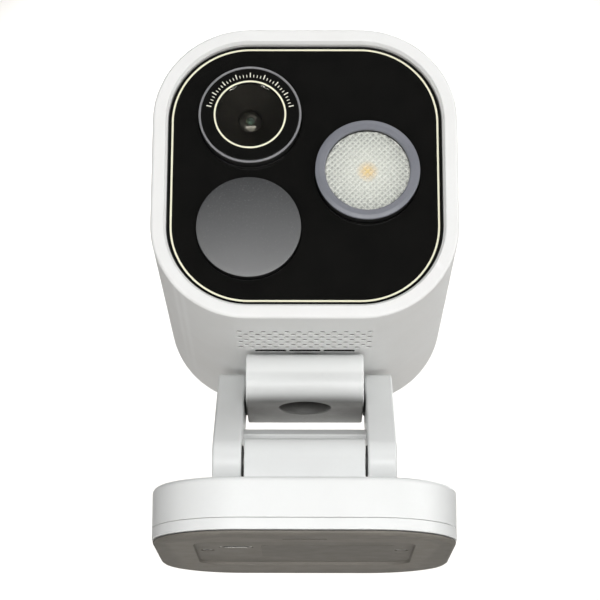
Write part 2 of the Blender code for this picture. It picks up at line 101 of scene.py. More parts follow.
class Finish:
    """A Principled material whose colour, roughness and bump come from procedural nodes."""

    def __init__(self, name, **values):
        self.material = bpy.data.materials.new(name)
        self.material.use_nodes = True
        self.nodes = self.material.node_tree.nodes
        self.links = self.material.node_tree.links
        self.shader = self.nodes["Principled BSDF"]
        for socket, value in values.items():
            self.shader.inputs[socket.replace("_", " ")].default_value = value
        self.coords = self.nodes.new("ShaderNodeTexCoord").outputs["Object"]
        self.height = None

    def noise(self, size_mm, detail=2.0, roughness=0.5, stretch=(1, 1, 1)):
        """Noise whose features are about size_mm across, as a 0 to 1 value."""
        mapping = self.nodes.new("ShaderNodeMapping")
        mapping.inputs["Scale"].default_value = [value / (size_mm * MM) for value in stretch]
        self.links.new(self.coords, mapping.inputs["Vector"])
        texture = self.nodes.new("ShaderNodeTexNoise")
        texture.inputs["Scale"].default_value = 1.0
        texture.inputs["Detail"].default_value = detail
        texture.inputs["Roughness"].default_value = roughness
        self.links.new(mapping.outputs["Vector"], texture.inputs["Vector"])
        return texture.outputs["Fac"]

    def spread(self, value, low, high, start=0.3, end=0.7):
        """Maps a value's start..end to low..high."""
        mapped = self.nodes.new("ShaderNodeMapRange")
        mapped.inputs["From Min"].default_value = start
        mapped.inputs["From Max"].default_value = end
        mapped.inputs["To Min"].default_value = low
        mapped.inputs["To Max"].default_value = high
        self.links.new(value, mapped.inputs["Value"])
        return mapped.outputs["Result"]

    def mix(self, factor, first, second):
        """Mixes two colours, each a tuple or a socket."""
        node = self.nodes.new("ShaderNodeMix")
        node.data_type = "RGBA"
        self.links.new(factor, node.inputs["Factor"])
        for socket, colour in (("A", first), ("B", second)):
            target = [s for s in node.inputs if s.name == socket and s.type == "RGBA"][0]
            if isinstance(colour, tuple):
                target.default_value = (*colour, 1.0)
            else:
                self.links.new(colour, target)
        return [s for s in node.outputs if s.type == "RGBA"][0]

    def painted_shade_mask(self):
        """Mask for painted shade: 0 in closed-in places low on the swivel block, 1 in the open and
        everywhere above them.
        """
        shelter = self.nodes.new("ShaderNodeAmbientOcclusion")
        shelter.samples = 12
        shelter.inputs["Distance"].default_value = 45 * MM
        up = HEAD.to_3x3() @ Vector((0, 0, 1))
        level = self.nodes.new("ShaderNodeVectorMath")
        level.operation = "DOT_PRODUCT"
        level.inputs[1].default_value = up
        self.links.new(self.coords, level.inputs[0])
        low, high = [(HEAD @ Vector((0, 0, z * MM))).dot(up) for z in (-50.0, -46.5)]
        above = self.spread(level.outputs["Value"], 0, 1, low, high)
        open_air = self.spread(shelter.outputs["AO"], 0, 1, 0.20, 0.68)
        kept = self.nodes.new("ShaderNodeMath")
        kept.operation = "MAXIMUM"
        self.links.new(above, kept.inputs[0])
        self.links.new(open_air, kept.inputs[1])
        return kept.outputs["Value"]

    def edges(self, low=0.52, high=0.60):
        """1 along outer edges, 0 on flats and in hollows."""
        geometry = self.nodes.new("ShaderNodeNewGeometry")
        return self.spread(geometry.outputs["Pointiness"], 0.0, 1.0, low, high)

    def colour(self, socket):
        self.links.new(socket, self.shader.inputs["Base Color"])

    def roughness(self, socket):
        self.links.new(socket, self.shader.inputs["Roughness"])

    def bump(self, value, depth_mm, strength=1.0):
        node = self.nodes.new("ShaderNodeBump")
        node.inputs["Strength"].default_value = strength
        node.inputs["Distance"].default_value = depth_mm * MM
        self.links.new(value, node.inputs["Height"])
        if self.height is not None:
            self.links.new(self.height, node.inputs["Normal"])
        self.height = node.outputs["Normal"]
        self.links.new(self.height, self.shader.inputs["Normal"])


def moulded(name, colour, tint, rough=0.42, grain=0.35, depth=0.012, shade=None, **values):
    """Injection-moulded plastic: a fine spark-eroded grain, faint flow mottling and slightly lighter outer
    edges.

    With shade given, the closed-in places low on the swivel block take that darker colour as painted shade.
    """
    finish = Finish(name, **values)
    mottled = finish.mix(finish.spread(finish.noise(14.0, 3.0), 0, 1), colour, tint)
    fine = finish.mix(finish.spread(finish.noise(0.8, 2.0), 0, 0.5), mottled, tint)
    edge_tone = tuple(min(1.0, value * 1.06) for value in colour)
    surface = finish.mix(finish.edges(), fine, edge_tone)
    if shade:
        # painted shade in the closed-in places low on the swivel block
        surface = finish.mix(finish.painted_shade_mask(), shade, surface)
    finish.colour(surface)
    finish.roughness(finish.spread(finish.noise(5.0, 3.0), rough - 0.05, rough + 0.06))
    finish.bump(finish.noise(grain, 2.0), depth)
    finish.bump(finish.noise(9.0, 1.0), depth * 2, 0.4)
    return finish.material


def metal(name, colour, tint, rough, stretch=(1, 1, 1)):
    """Metal with fine brushed or tumbled marks."""
    finish = Finish(name, Metallic=1.0)
    finish.colour(finish.mix(finish.spread(finish.noise(1.5, 3.0), 0, 1), colour, tint))
    finish.roughness(finish.spread(finish.noise(0.25, 2.0, stretch=stretch), rough - 0.08, rough + 0.1))
    finish.bump(finish.noise(0.2, 2.0, stretch=stretch), 0.004)
    return finish.material


def glossy(name, colour, tint, rough, **values):
    """Polished glass or lacquer, with a trace of wipe marks in its gloss."""
    finish = Finish(name, **values)
    finish.colour(finish.mix(finish.spread(finish.noise(6.0, 3.0), 0, 1), colour, tint))
    finish.roughness(finish.spread(finish.noise(12.0, 3.0, stretch=(1, 1, 0.4)), rough, rough + 0.02))
    return finish.material


WHITE = moulded("white_shell", (0.80, 0.805, 0.80), (0.775, 0.775, 0.765), 0.46)
WHITE_SATIN = moulded("white_satin", (0.79, 0.805, 0.80), (0.765, 0.775, 0.77), 0.38, grain=0.5)
# Painted shade: the swivel block's low, closed-in faces take the dark colour given last.
BLOCK = moulded("block_satin_painted_shade", (0.79, 0.805, 0.80), (0.765, 0.775, 0.77), 0.38, grain=0.5,
                shade=(0.075, 0.074, 0.069))
FOOT = moulded("foot_grey", (0.185, 0.172, 0.150), (0.155, 0.145, 0.128), 0.6, grain=0.6, depth=0.03,
              Specular_IOR_Level=0.3)
LABEL = moulded("label_film", (0.152, 0.142, 0.125), (0.162, 0.151, 0.133), 0.6, grain=1.2, depth=0.006,
                Specular_IOR_Level=0.25)
BEZEL = moulded("bezel_satin", (0.150, 0.155, 0.180), (0.180, 0.187, 0.212), 0.36, grain=0.5, depth=0.02)
LENS_RIM = moulded("lens_rim", (0.17, 0.17, 0.178), (0.24, 0.24, 0.25), 0.30, grain=0.7, depth=0.03)
BLACK = moulded("black_plastic", (0.014, 0.014, 0.014), (0.022, 0.021, 0.020), 0.5)
DARK = moulded("inner_black", (0.008, 0.007, 0.0055), (0.012, 0.010, 0.008), 0.6)
# The nylon washers are dark grey as painted shadow for the gaps they sit in.
SHADOWED_NYLON = moulded("nylon", (0.060, 0.060, 0.058), (0.075, 0.075, 0.072), 0.5)
# A dark grille mesh set just under the holes, so that it paints the shadow inside each of them.
MESH = moulded("grille_mesh_and_shadow", (0.070, 0.058, 0.044), (0.050, 0.042, 0.032), 0.6, grain=0.25, depth=0.03)
RUBBER = moulded("rubber", (0.62, 0.62, 0.605), (0.58, 0.58, 0.565), 0.68, grain=0.25, depth=0.02)
GLASS = glossy("black_glass", (0.0045, 0.0045, 0.0042), (0.0062, 0.0061, 0.0056), 0.05)
STEEL = metal("screw_steel", (0.56, 0.55, 0.53), (0.42, 0.41, 0.40), 0.34)
# Black oxide steel, dark enough that the swivel screw paints the shade deep in its recess.
DARK_STEEL = metal("black_oxide_steel_and_shade", (0.07, 0.068, 0.064), (0.045, 0.044, 0.042), 0.42)
PORT_STEEL = metal("port_steel", (0.52, 0.51, 0.48), (0.42, 0.41, 0.39), 0.40, (1, 1, 6))
CREAM = moulded("cream_print", (0.80, 0.78, 0.58), (0.86, 0.84, 0.66), 0.42, grain=0.3, depth=0.01)
PRINT = moulded("white_print", (0.78, 0.77, 0.66), (0.70, 0.69, 0.58), 0.45, grain=0.3, depth=0.01)
BOARD = moulded("board_green", (0.02, 0.09, 0.05), (0.03, 0.11, 0.06), 0.45)


def sensor_finish():
    """The motion sensor's window: matte grey polythene with fine light specks, and painted reflection that
    makes it light towards its bottom and dark at its top.
    """
    finish = Finish("sensor_window", Specular_IOR_Level=0.6)
    height = finish.nodes.new("ShaderNodeSeparateXYZ")
    finish.links.new(finish.coords, height.inputs["Vector"])
    # Painted reflection: light grey low on the window, fading to near black at its top.
    low, high = [(HEAD @ Vector((0, 0, (SENSOR[1] + side * SENSOR_RADIUS) * MM))).z for side in (-1, 1)]
    painted_reflection = finish.spread(height.outputs["Z"], 0, 1, low, high)
    base = finish.mix(painted_reflection, (0.165, 0.167, 0.169), (0.012, 0.013, 0.015))
    base = finish.mix(finish.spread(finish.noise(9.0, 2.0), 0, 0.2), base, (0.08, 0.082, 0.084))
    specks = finish.spread(finish.noise(0.35, 3.0), 0, 1, 0.58, 0.72)
    finish.colour(finish.mix(finish.spread(specks, 0, 0.35, 0, 1), base, (0.17, 0.172, 0.172)))
    finish.roughness(finish.spread(finish.noise(1.2, 2.0), 0.40, 0.48))
    finish.bump(finish.noise(0.45, 3.0), 0.012)
    return finish.material


def diffuser_finish():
    """The spotlight's clear prismatic lens, with the yellow phosphor showing through its middle and painted
    shade darkening it towards its rim.
    """
    finish = Finish("diffuser", Roughness=0.24, IOR=1.49)
    middle = finish.nodes.new("ShaderNodeVectorMath")
    middle.operation = "DISTANCE"
    middle.inputs[1].default_value = HEAD @ Vector((SPOT[0] * MM, 1.0 * MM, SPOT[1] * MM))
    finish.links.new(finish.coords, middle.inputs[0])
    distance = middle.outputs["Value"]
    glow = finish.spread(distance, 1.0, 0.0, 2.0 * MM, 3.7 * MM)
    core = finish.spread(distance, 1.0, 0.0, 0.8 * MM, 2.6 * MM)
    # Painted shade: the lens darkens from grey-green towards near black at its rim.
    rim = finish.spread(distance, 0.0, 1.0, 3.5 * MM, 11.0 * MM)
    valley = finish.mix(rim, (0.50, 0.52, 0.47), (0.16, 0.18, 0.17))
    facets = finish.mix(finish.edges(0.44, 0.56), valley, (0.80, 0.81, 0.76))
    cloudy = finish.mix(finish.spread(finish.noise(1.6, 2.0), 0, 0.2), facets, (0.80, 0.81, 0.76))
    warm = finish.mix(glow, cloudy, (0.74, 0.60, 0.40))
    finish.colour(finish.mix(core, warm, (0.86, 0.68, 0.22)))
    finish.bump(finish.noise(0.5, 2.0), 0.01)
    return finish.material


def window_finish():
    """The clear cover in front of the lens."""
    finish = Finish("lens_cover", Transmission_Weight=1.0, IOR=1.45, Roughness=0.02)
    tint = finish.spread(finish.noise(5.0), 0, 1)
    finish.colour(finish.mix(tint, (0.72, 0.70, 0.64), (0.78, 0.76, 0.70)))
    finish.bump(finish.noise(9.0, 1.0), 0.002, 0.3)
    return finish.material


def coated_finish(name, colour, film_nm, rough=0.06):
    """Coated optical glass seen against the dark barrel: the coating tints what it reflects."""
    finish = Finish(name, Specular_IOR_Level=0.9, Thin_Film_Thickness=film_nm, Coat_Weight=1.0)
    finish.shader.inputs["Thin Film IOR"].default_value = 1.9
    darker = tuple(value * 0.6 for value in colour)
    finish.colour(finish.mix(finish.spread(finish.noise(1.0), 0, 1), colour, darker))
    finish.roughness(finish.spread(finish.noise(2.0), rough, rough + 0.03))
    return finish.material


SENSOR_GREY = sensor_finish()
DIFFUSER = diffuser_finish()
COVER = window_finish()
COATED = coated_finish("lens_coating", (0.030, 0.030, 0.026), 0, 0.34)
IRIS = coated_finish("iris_coating", (0.012, 0.016, 0.006), 330)


# --- outlines ------------------------------------------------------------------------------------

def arc(centre, radius, start, end, steps):
    angles = [math.radians(start + (end - start) * i / steps) for i in range(steps + 1)]
    return [(centre[0] + radius * math.cos(a), centre[1] + radius * math.sin(a)) for a in angles]


def rounded(width, height, corner, centre=(0.0, 0.0), steps=20):
    points = []
    for sx, sy, start in ((1, -1, -90), (1, 1, 0), (-1, 1, 90), (-1, -1, 180)):
        middle = (centre[0] + sx * (width / 2 - corner), centre[1] + sy * (height / 2 - corner))
        points += arc(middle, corner, start, start + 90, steps)
    return points


def circle(radius, centre=(0.0, 0.0), steps=96):
    return arc(centre, radius, 0, 360 - 360 / steps, steps - 1)


def dish(radius, front, rise, steps):
    """Half a shallow dome as (radius, along) pairs, its middle at front and its edge rise behind it."""
    return [(radius * i / steps, front + rise * (i / steps) ** 2) for i in range(steps + 1)]


def filleted(corners, closed=True, steps=4):
    """A polygon given as (a, b, radius) whose corners are replaced by arcs of that radius."""
    points = []
    count = len(corners)
    for index, (a, b, radius) in enumerate(corners):
        here = Vector((a, b))
        if radius <= 0 or (not closed and index in (0, count - 1)):
            points.append((a, b))
            continue
        before = (Vector(corners[index - 1][:2]) - here).normalized()
        after = (Vector(corners[(index + 1) % count][:2]) - here).normalized()
        half = before.angle(after) / 2
        reach = radius / math.tan(half)
        middle = here + (before + after).normalized() * radius / math.sin(half)
        first = here + before * reach - middle
        turn = first.angle_signed(here + after * reach - middle)
        for step in range(steps + 1):
            angle = -turn * step / steps
            c, s = math.cos(angle), math.sin(angle)
            points.append((middle.x + first.x * c - first.y * s, middle.y + first.x * s + first.y * c))
    return points


# --- meshes --------------------------------------------------------------------------------------

def finish_mesh(name, work, place, finish, sharp=35):
    """Turns a bmesh in millimetres into an object at a place in the frame."""
    bmesh.ops.remove_doubles(work, verts=work.verts, dist=0.0005)
    bmesh.ops.recalc_face_normals(work, faces=work.faces)
    mesh = bpy.data.meshes.new(name)
    work.transform(place @ Matrix.Scale(MM, 4))
    work.to_mesh(mesh)
    work.free()
    made = bpy.data.objects.new(name, mesh)
    bpy.context.scene.collection.objects.link(made)
    mesh.materials.append(finish)
    mesh.shade_smooth()
    mesh.set_sharp_from_angle(angle=math.radians(sharp))
    return made


def settle(piece, body, slot, *nodes, sharp=35):
    """Applies a piece's modifiers, evens its shading and puts it on its body."""
    bpy.context.view_layer.update()
    graph = bpy.context.evaluated_depsgraph_get()
    mesh = bpy.data.meshes.new_from_object(piece.evaluated_get(graph))
    piece.modifiers.clear()
    piece.data = mesh
    mesh.shade_smooth()
    mesh.set_sharp_from_angle(angle=math.radians(sharp))
    normals = piece.modifiers.new("Normals", "WEIGHTED_NORMAL")
    normals.keep_sharp = True
    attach(piece, body)
    if nodes:
        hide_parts(*nodes)
    return piece


def loft(name, rings, place, finish, closed=False, caps=True):
    """A skin through rings of equally many points; closed joins the last ring to the first."""
    work = bmesh.new()
    rows = [[work.verts.new(point) for point in ring] for ring in rings]
    pairs = list(zip(rows, rows[1:])) + ([(rows[-1], rows[0])] if closed else [])
    count = len(rows[0])
    for first, second in pairs:
        for i in range(count):
            j = (i + 1) % count
            work.faces.new((first[i], first[j], second[j], second[i]))
    if caps and not closed:
        work.faces.new(rows[0][::-1])
        work.faces.new(rows[-1])
    return finish_mesh(name, work, place, finish)


def square_loft(name, profile, side, corner, across, place, finish, closed=True, caps=True, steps=20):
    """Rounded squares, each moved in from the side by its inset, along Y or Z of the place."""
    rings = []
    for inset, along in profile:
        flat = rounded(side - 2 * inset, side - 2 * inset, max(corner - inset, 0.3), steps=steps)
        if across == "Y":
            rings.append([(a, along, b) for a, b in flat])
        else:
            rings.append([(a, b, along) for a, b in flat])
    return loft(name, rings, place, finish, closed, caps)


def lathe(name, profile, centre, place, finish, axis="Y", closed=False, steps=96):
    """A turned shape from (radius, along) pairs; radius 0 closes it on its axis."""
    work = bmesh.new()
    rows = []
    for radius, along in profile:
        spots = [(0.0, 0.0)] if radius <= 0 else circle(radius, steps=steps)
        row = []
        for a, b in spots:
            point = {
                "X": (along, centre[0] + a, centre[1] + b),
                "Y": (centre[0] + a, along, centre[1] + b),
                "Z": (centre[0] + a, centre[1] + b, along),
            }[axis]
            row.append(work.verts.new(point))
        rows.append(row)
    pairs = list(zip(rows, rows[1:])) + ([(rows[-1], rows[0])] if closed else [])
    for first, second in pairs:
        for i in range(steps):
            j = (i + 1) % steps
            corners = [first[i % len(first)], first[j % len(first)]]
            corners += [second[j % len(second)], second[i % len(second)]]
            unique = list(dict.fromkeys(corners))
            if len(unique) > 2:
                work.faces.new(unique)
    return finish_mesh(name, work, place, finish)


def prism(name, outline, low, high, axis, place, finish, bevel=0.0, segments=3):
    """An outline given a thickness along an axis, its edges rounded."""
    def at(point, along):
        a, b = point
        return {"X": (along, a, b), "Y": (a, along, b), "Z": (a, b, along)}[axis]
    made = loft(name, [[at(p, low) for p in outline], [at(p, high) for p in outline]], place, finish)
    if bevel:
        soften(made, bevel, segments)
    return made


def soften(piece, width, segments=3, angle=50):
    bevel = piece.modifiers.new("Edges", "BEVEL")
    bevel.width = width * MM
    bevel.segments = segments
    bevel.limit_method = "ANGLE"
    bevel.angle_limit = math.radians(angle)


def combine(piece, other, operation="DIFFERENCE"):
    """Applies a Boolean and drops the other object."""
    step = piece.modifiers.new("Step", "BOOLEAN")
    step.operation = operation
    step.object = other
    step.solver = "EXACT"
    bpy.context.view_layer.update()
    graph = bpy.context.evaluated_depsgraph_get()
    mesh = bpy.data.meshes.new_from_object(piece.evaluated_get(graph))
    piece.modifiers.clear()
    piece.data = mesh
    bpy.data.objects.remove(other, do_unlink=True)
    return piece


# --- head ----------------------------------------------------------------------------------------

def grille_holes():
    """Seven staggered rows of round holes, as (x, y) in the head's frame."""
    across, along = 3.1, 2.5
    rows = 7
    spots = []
    for row in range(rows):
        count = 12 if row % 2 == 0 else 11
        y = GRILLE_Y + (row - (rows - 1) / 2) * along
        spots += [((i - (count - 1) / 2) * across, y) for i in range(count)]
    return spots


def make_mesh(name, margin, inset, top, finish):
    """The plate behind the grille, its outer face following the shell at the given inset; dark and close
    under the holes, it paints the shadow inside each hole.
    """
    outline = rounded(38 + 2 * margin, 17.4 + 2 * margin, 1.9, centre=(0, GRILLE_Y), steps=5)
    plate = prism(name, outline, -42, top, "Z", HEAD, finish)
    side = HEAD_SIDE - 2 * inset
    inner = rounded(side, side, HEAD_CORNER - inset, steps=28)
    return combine(plate, prism("inner", inner, 0, 60, "Y", HEAD, finish), "INTERSECT")


def make_shell():
    profile = filleted([
        (0.0, SHELL_BACK, 0.35), (0.0, HEAD_FRONT, 0.8), (3.35, HEAD_FRONT, 0.25), (GLASS_INSET, -1.1, 0.12),
        (GLASS_INSET, 3.0, 0.1), (SHELL_WALL, 3.0, 0.1), (SHELL_WALL, SHELL_BACK, 0.1),
    ])
    shell = square_loft("head_shell_skin", profile, HEAD_SIDE, HEAD_CORNER, "Y", HEAD, WHITE, steps=28)
    holes = bmesh.new()
    for x, y in grille_holes():
        bmesh.ops.create_cone(
            holes, cap_ends=True, segments=20, radius1=0.88, radius2=0.88, depth=8,
            matrix=Matrix.Translation((x, y, -38.5)),
        )
    combine(shell, finish_mesh("holes", holes, HEAD, WHITE))
    for index in (-1, 0, 1):
        slot = rounded(8.4, 2.4, 0.7, centre=(index * SLOT_PITCH, SLOT_Y), steps=5)
        combine(shell, prism("slot", slot, -42, -35, "Z", HEAD, WHITE))
    seat = rounded(28.2, 2.8, 0.9, centre=(0, SLOT_Y), steps=5)
    combine(shell, prism("liner_seat", seat, -39.9, -35, "Z", HEAD, WHITE))
    combine(shell, make_mesh("mesh_seat", 0.1, 0.30, -35, WHITE))
    hole = [(0, -42), (4.5, -42), (4.5, -35), (0, -35)]
    combine(shell, lathe("hole", hole, (0, PAN_Y), HEAD, WHITE, "Z"))
    settle(shell, "head", "white_plastic", "head_shell")
    # The dark mesh just under the skin gives the painted shadow in each grille hole.
    settle(make_mesh("grille_mesh_and_shadow", 0.0, 0.32, INNER_FLOOR, MESH), "head", "black_plastic")
    # A black liner just under the slots: painted shade inside them, where light doesn't reach.
    outline = rounded(28, 2.6, 0.8, centre=(0, SLOT_Y), steps=5)
    liner = prism("slot_liner_painted_shade", outline, -39.85, INNER_FLOOR, "Z", HEAD, DARK)
    for index in (-1, 0, 1):
        slot = rounded(8.2, 2.2, 0.6, centre=(index * SLOT_PITCH, SLOT_Y), steps=5)
        combine(liner, prism("slot", slot, -42, INNER_FLOOR - 0.3, "Z", HEAD, DARK))
    settle(liner, "head", "black_plastic")


def make_rear():
    """The rear cover with its four screws and the rubber cover over the service socket."""
    profile = filleted([(3.0, 86.7, 0), (0.0, 86.7, 0.3), (0.0, 88.5, 1.3), (3.0, 88.5, 0)], closed=False)
    cover = square_loft("rear_cover_skin", profile, HEAD_SIDE, HEAD_CORNER, "Y", HEAD, WHITE, closed=False)
    for x in (-1, 1):
        for z in (-1, 1):
            middle = (x * SCREW_SPACING, z * SCREW_SPACING)
            sink = filleted([(0, 86, 0), (1.7, 86, 0), (1.7, 87.0, 0), (3.0, 87.0, 0), (3.0, 88.1, 0),
                             (3.5, 89.0, 0), (0, 89, 0)], closed=False)
            combine(cover, lathe("sink", sink, middle, HEAD, WHITE, steps=48))
            make_screw(f"rear_screw_{'lower' if z < 0 else 'upper'}_{'left' if x < 0 else 'right'}",
                       (middle[0], 87.3, middle[1]), 2.7, 0.9, "Y", HEAD, "head")
    pocket = rounded(26.6, 10.6, 4.3, centre=(0, -23), steps=12)
    combine(cover, prism("pocket", pocket, 87.3, 90, "Y", HEAD, WHITE))
    settle(cover, "head", "white_plastic", "rear_cover")

    outline = rounded(26, 10, 4.0, centre=(0, -23), steps=12)
    flap = prism("service_cover_skin", outline, 87.6, 88.4, "Y", HEAD, RUBBER, 0.3)
    nail = prism("nail", rounded(8, 1.6, 0.75, centre=(0, -20.3), steps=8), 88.0, 89, "Y", HEAD, RUBBER)
    combine(flap, nail)
    settle(flap, "head", "rubber", "service_cover")


def make_screw(node, seat, radius, height, axis, place, body, finish=STEEL):
    """A pan-head screw with a six-lobed recess, its head standing from the seat along the axis."""
    x, y, z = seat
    along = {"Y": y, "Z": z}[axis]
    centre = {"Y": (x, z), "Z": (x, y)}[axis]
    sign = 1 if height > 0 else -1
    rim = radius * 0.18
    head = filleted([(0, along, 0), (radius, along, 0), (radius, along + height, rim),
                     (0, along + height * 1.08, 0)], closed=False)
    screw = lathe(node + "_head", head, centre, place, finish, axis, steps=48)
    lobes = []
    for index in range(48):
        angle = 2 * math.pi * index / 48
        reach = radius * (0.44 + 0.07 * math.cos(6 * angle))
        lobes.append((centre[0] + reach * math.cos(angle), centre[1] + reach * math.sin(angle)))
    low, high = sorted((along + height * 0.35, along + height + sign))
    combine(screw, prism("recess", lobes, low, high, axis, place, finish))
    settle(screw, body, "steel", node)


def make_glass():
    side = HEAD_SIDE - 2 * GLASS_INSET
    corner = HEAD_CORNER - GLASS_INSET
    profile = filleted([(2.0, 2.0, 0), (0.1, 2.0, 0), (0.1, 0.0, 0.25), (2.0, 0.0, 0)], closed=False)
    glass = square_loft("front_glass_skin", profile, side, corner, "Y", HEAD, GLASS, closed=False, steps=28)
    for middle, radius in ((LENS, LENS_RADIUS), (SENSOR, SENSOR_RADIUS), (SPOT, SPOT_RADIUS)):
        reach = radius + 0.12
        drill = [(0, -1), (reach + 0.15, -1), (reach + 0.15, 0.0), (reach, 0.15), (reach, 3), (0, 3)]
        combine(glass, lathe("drill", drill, middle, HEAD, GLASS, steps=128))
    settle(glass, "head", "black_glass", "front_glass")

    line = filleted([(0.92, 0.05, 0), (0.92, -0.03, 0.02), (1.42, -0.03, 0.02), (1.42, 0.05, 0)], steps=2)
    inlay = square_loft("front_line", line, side, corner, "Y", HEAD, CREAM, steps=28)
    settle(inlay, "head", "label_film")


def make_lens():
    front = BEZEL_FRONT
    # The black collar on the bezel's flank is painted shade, for the shadow under the bright rim.
    collar = filleted([(LENS_RADIUS - 0.15, 4.6, 0), (LENS_RADIUS - 0.15, front + 0.35, 0.05),
                       (12.7, front + 0.35, 0.05), (12.7, 4.6, 0)])
    settle(lathe("lens_collar", collar, LENS, HEAD, BLACK, closed=True, steps=128), "head", "black_plastic")
    rim = filleted([(LENS_RADIUS, front + 0.32, 0), (LENS_RADIUS, front, 0.2), (12.95, front, 0.1),
                    (12.95, front + 0.32, 0)], steps=5)
    settle(lathe("lens_rim", rim, LENS, HEAD, LENS_RIM, closed=True, steps=128), "head", "bezel_grey",
           "lens_bezel")
    face = filleted([(12.85, 0.0, 0), (12.85, front + 0.1, 0.1), (8.9, front + 0.1, 0.1), (8.9, 0.0, 0)])
    settle(lathe("lens_face", face, LENS, HEAD, GLASS, closed=True, steps=128), "head", "black_glass")
    printed = front + 0.05
    ring = filleted([(9.05, printed + 0.1, 0), (9.05, printed, 0.03), (9.52, printed, 0.03),
                     (9.52, printed + 0.1, 0)], steps=2)
    settle(lathe("lens_ring", ring, LENS, HEAD, CREAM, closed=True, steps=128), "head", "label_film")
    clear = [(0, -1.9), (8.8, -1.9), (8.8, -2.6), (0, -2.6)]
    settle(lathe("lens_cover", clear, LENS, HEAD, COVER, steps=96), "head", "lens_glass", "lens_window")
    cone = filleted([(9.2, -1.2, 0), (8.6, -1.2, 0), (3.2, 2.2, 0.3), (3.1, 2.8, 0), (3.1, 8.0, 0),
                     (9.2, 8.0, 0)])
    settle(lathe("lens_hood", cone, LENS, HEAD, DARK, closed=True, steps=96), "head", "black_plastic",
           "lens_barrel")
    bulge = dish(3.0, 2.1, 0.8, 10) + [(3.0, 3.8), (0, 3.8)]
    settle(lathe("lens_front", bulge, LENS, HEAD, COATED, steps=64), "head", "lens_glass", "lens_element")
    iris = dish(1.15, 1.72, 0.42, 8) + [(1.15, 2.4), (0, 2.4)]
    settle(lathe("lens_iris", iris, LENS, HEAD, IRIS, steps=48), "head", "lens_glass")
    make_ticks()


def make_ticks():
    """A plain index scale round the top of the lens face."""
    work = bmesh.new()
    count = 33
    for index in range(count):
        long = index % 4 == 0
        angle = math.radians(12 + 156 * index / (count - 1))
        inner, outer = 10.4, (11.7 if long else 11.15)
        width = 0.26 if long else 0.18
        middle = (inner + outer) / 2
        spot = (LENS[0] + middle * math.cos(angle), BEZEL_FRONT + 0.08, LENS[1] + middle * math.sin(angle))
        size = Matrix.Diagonal((outer - inner, 0.07, width, 1.0))
        place = Matrix.Translation(spot) @ Matrix.Rotation(-angle, 4, "Y") @ size
        bmesh.ops.create_cube(work, size=1.0, matrix=place)
    ticks = finish_mesh("lens_scale", work, HEAD, PRINT)
    settle(ticks, "head", "label_film")


def make_sensor():
    """The domed window of the motion sensor, on a black collar that paints the shade on its flank."""
    face = SENSOR_RADIUS - 0.35
    sag = 0.62
    dome = dish(face, SENSOR_EDGE - sag, sag, 15)[:-1]
    dome += filleted([(face, SENSOR_EDGE, 0), (SENSOR_RADIUS, SENSOR_EDGE + 0.12, 0.12),
                      (SENSOR_RADIUS, SENSOR_EDGE + 0.35, 0), (0, SENSOR_EDGE + 0.35, 0)], closed=False)
    settle(lathe("motion_window", dome, SENSOR, HEAD, SENSOR_GREY, steps=128), "head", "sensor_grey",
           "sensor_window")
    # Painted shade: the black collar stands for the window's flank in shadow.
    collar = [(0, SENSOR_EDGE + 0.37), (13.4, SENSOR_EDGE + 0.37), (13.4, 1.7), (0, 1.7)]
    settle(lathe("motion_collar", collar, SENSOR, HEAD, BLACK, steps=128), "head", "black_plastic")


def make_spotlight():
    front = BEZEL_FRONT
    ring = filleted([
        (SPOT_RADIUS, front + 0.7, 0), (SPOT_RADIUS, front + 0.25, 0.3), (12.6, front, 0.6),
        (11.4, front, 0.25), (SPOT_BORE, front + 0.35, 0.15), (SPOT_BORE, front + 0.7, 0),
    ], steps=6)
    settle(lathe("spotlight_ring", ring, SPOT, HEAD, BEZEL, closed=True, steps=128), "head", "bezel_grey",
           "spotlight_bezel")
    # Painted shade: the black collar stands for the bezel's flank in shadow.
    collar = [(SPOT_RADIUS - 0.2, front + 0.72), (SPOT_BORE + 0.1, front + 0.72), (SPOT_BORE + 0.1, 4.0),
              (SPOT_RADIUS - 0.2, 4.0)]
    collar = lathe("spotlight_collar", collar, SPOT, HEAD, BLACK, closed=True, steps=128)
    settle(collar, "head", "black_plastic")
    settle(make_prisms(), "head", "diffuser", "spotlight_lens")


def make_prisms():
    """The spotlight's lens: a disc whose face is a staggered grid of small pyramids."""
    pitch = 1.08
    reach = 11
    tall = 0.55
    work = bmesh.new()
    turn = Matrix.Rotation(math.radians(45), 2)
    corner = {}

    def vertex(i, j, y):
        if (i, j, y) not in corner:
            a, b = turn @ Vector((i * pitch, j * pitch))
            corner[i, j, y] = work.verts.new((SPOT[0] + a, y, SPOT[1] + b))
        return corner[i, j, y]

    face = -0.9
    back = 0.5
    cells = [(i, j) for i in range(-reach, reach) for j in range(-reach, reach)]
    for i, j in cells:
        base = [vertex(i + u, j + v, face) for u, v in ((0, 0), (1, 0), (1, 1), (0, 1))]
        peak = vertex(i + 0.5, j + 0.5, face - tall)
        for first, second in zip(base, base[1:] + base[:1]):
            work.faces.new((first, second, peak))
    forward, backward = range(-reach, reach), range(reach, -reach, -1)
    border = [(i, -reach) for i in forward] + [(reach, j) for j in forward]
    border += [(i, reach) for i in backward] + [(-reach, j) for j in backward]
    front = [vertex(i, j, face) for i, j in border]
    rear = [vertex(i, j, back) for i, j in border]
    for k in range(len(border)):
        n = (k + 1) % len(border)
        work.faces.new((front[k], front[n], rear[n], rear[k]))
    work.faces.new(rear)
    lens = finish_mesh("spotlight_prisms", work, HEAD, DIFFUSER, sharp=20)
    disc = [(0, -2), (SPOT_BORE, -2), (SPOT_BORE, 0.4), (0, 0.4)]
    return combine(lens, lathe("disc", disc, SPOT, HEAD, DIFFUSER, steps=96), "INTERSECT")


# --- swivel block and arm ------------------------------------------------------------------------

